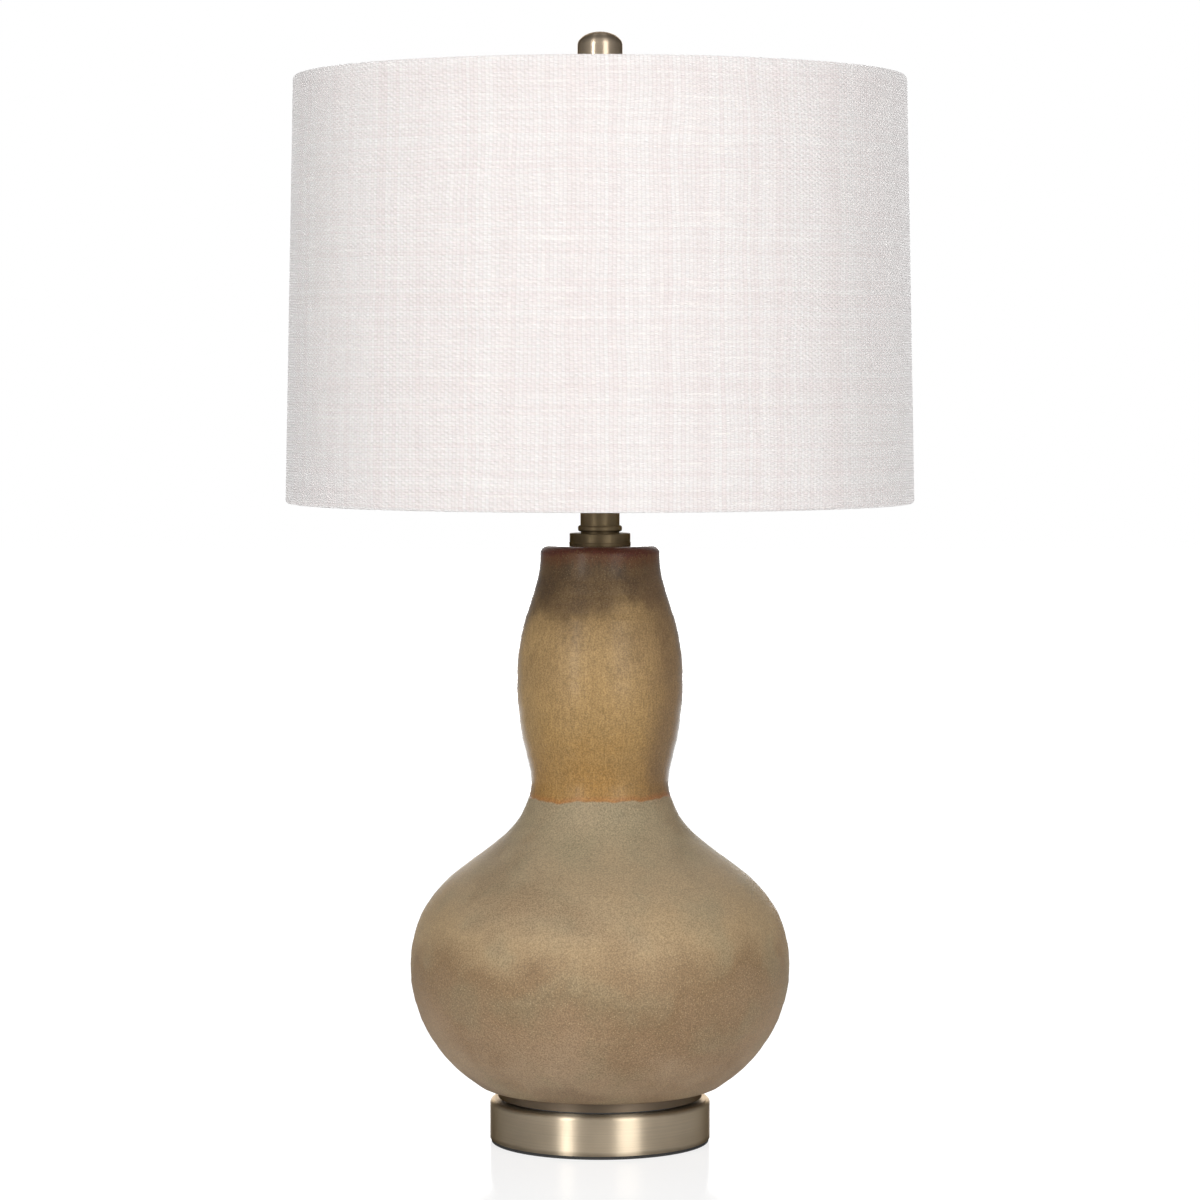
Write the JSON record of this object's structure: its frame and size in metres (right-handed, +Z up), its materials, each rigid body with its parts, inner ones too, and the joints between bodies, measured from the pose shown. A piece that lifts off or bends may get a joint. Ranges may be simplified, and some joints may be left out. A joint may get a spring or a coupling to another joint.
{
  "type": "table lamp",
  "caption": "Table lamp with a glazed ceramic double gourd body, round brass base, harp, fabric drum shade and finial, with screw-in bulb and turn switch.",
  "frame": {"origin": "centre of the pad's underside, on the surface that the lamp stands on", "axes": "+Z up along the lamp pipe, front of the lamp towards -Y, harp in the XZ plane"},
  "size_m": [0.4064, 0.4062, 0.7197],
  "materials": {
    "black_pad": "matte",
    "brushed_brass": "satin",
    "dark_brass": "satin",
    "plain_brass": "satin",
    "cast_iron": "matte",
    "zinc_steel": "satin",
    "bright_nickel": "satin",
    "black_plastic": "satin",
    "black_rubber": "matte",
    "reactive_glaze": "satin",
    "white_liner": "matte",
    "slub_linen": "matte",
    "fibre_board": "matte",
    "solder": "satin",
    "black_glass": "gloss",
    "frosted_glass": "matte",
    "clear_glass": "gloss",
    "filament_wire": "satin"
  },
  "bodies": {
    "root": {"foot_pad": "black_pad", "base_shell": "brushed_brass", "base_weight": "cast_iron", "cord_bushing": "black_plastic", "pipe_washer": "zinc_steel", "pipe_nut": "zinc_steel", "lamp_pipe": "zinc_steel", "collar_spacer": "cast_iron", "seat_collar": "brushed_brass", "seat_gasket": "black_rubber", "gourd_lower": "reactive_glaze", "gourd_upper": "reactive_glaze", "top_gasket": "black_rubber", "vase_cap": "dark_brass", "neck_ring": "dark_brass", "neck_tube": "dark_brass", "neck_cap": "dark_brass", "harp_saddle": "dark_brass", "saddle_nut": "zinc_steel", "socket_cap": "plain_brass", "set_screw": "zinc_steel", "socket_shell": "plain_brass", "socket_liner": "fibre_board", "socket_body": "black_plastic", "terminal_screws": "plain_brass", "screw_shell": "plain_brass", "centre_contact": "plain_brass"},
    "switch": {"switch_stem": "plain_brass", "switch_knob": "black_plastic"},
    "bulb_lift": {"bulb_tip": "solder"},
    "bulb": {"bulb_insulator": "black_glass", "bulb_cap": "bright_nickel", "bulb_globe": "frosted_glass", "bulb_stem": "clear_glass", "bulb_filament": "filament_wire"},
    "harp": {"harp_wire": "dark_brass"},
    "sleeve_left": {"harp_sleeve_left": "dark_brass"},
    "sleeve_right": {"harp_sleeve_right": "dark_brass"},
    "stud": {"harp_stud": "dark_brass"},
    "shade": {"spider_hub": "dark_brass", "spider_arms": "dark_brass", "shade_top_ring": "zinc_steel", "shade_bottom_ring": "zinc_steel", "shade_liner": "white_liner", "shade_fabric": "slub_linen"},
    "finial_lift": {"finial_insert": "plain_brass"},
    "finial": {"finial": "brushed_brass"}
  },
  "joints": [
    {"name": "switch_turn", "type": "hinge", "parent": "root", "child": "switch", "pos_m": [0, -0.03, 0.4784], "axis": [0, -1, 0], "continuous": true},
    {"name": "bulb_rise", "type": "slide", "parent": "root", "child": "bulb_lift", "axis": [0, 0, 1], "range_m": [0, 0.0182]},
    {"name": "bulb_turn", "type": "hinge", "parent": "bulb_lift", "child": "bulb", "pos_m": [0, 0, 0.5], "axis": [0, 0, 1], "range_deg": [0, 1800]},
    {"name": "harp_lift", "type": "slide", "parent": "root", "child": "harp", "axis": [0, 0, 1], "range_m": [0, 0.2]},
    {"name": "sleeve_left_lift", "type": "slide", "parent": "harp", "child": "sleeve_left", "axis": [0, 0, 1], "range_m": [0, 0.012]},
    {"name": "sleeve_right_lift", "type": "slide", "parent": "harp", "child": "sleeve_right", "axis": [0, 0, 1], "range_m": [0, 0.012]},
    {"name": "shade_swivel", "type": "hinge", "parent": "harp", "child": "stud", "pos_m": [0, 0, 0.68], "axis": [0, 0, 1], "continuous": true},
    {"name": "shade_lift", "type": "slide", "parent": "stud", "child": "shade", "axis": [0, 0, 1], "range_m": [0, 0.28]},
    {"name": "finial_rise", "type": "slide", "parent": "shade", "child": "finial_lift", "axis": [0, 0, 1], "range_m": [0, 0.0057]},
    {"name": "finial_turn", "type": "hinge", "parent": "finial_lift", "child": "finial", "pos_m": [0, 0, 0.7], "axis": [0, 0, 1], "range_deg": [0, 2160]}
  ],
  "couplings": [
    {"joint": "bulb_rise", "follows": "bulb_turn", "m_per_rad": 0.00057751},
    {"joint": "finial_rise", "follows": "finial_turn", "m_per_rad": 0.00014972}
  ]
}
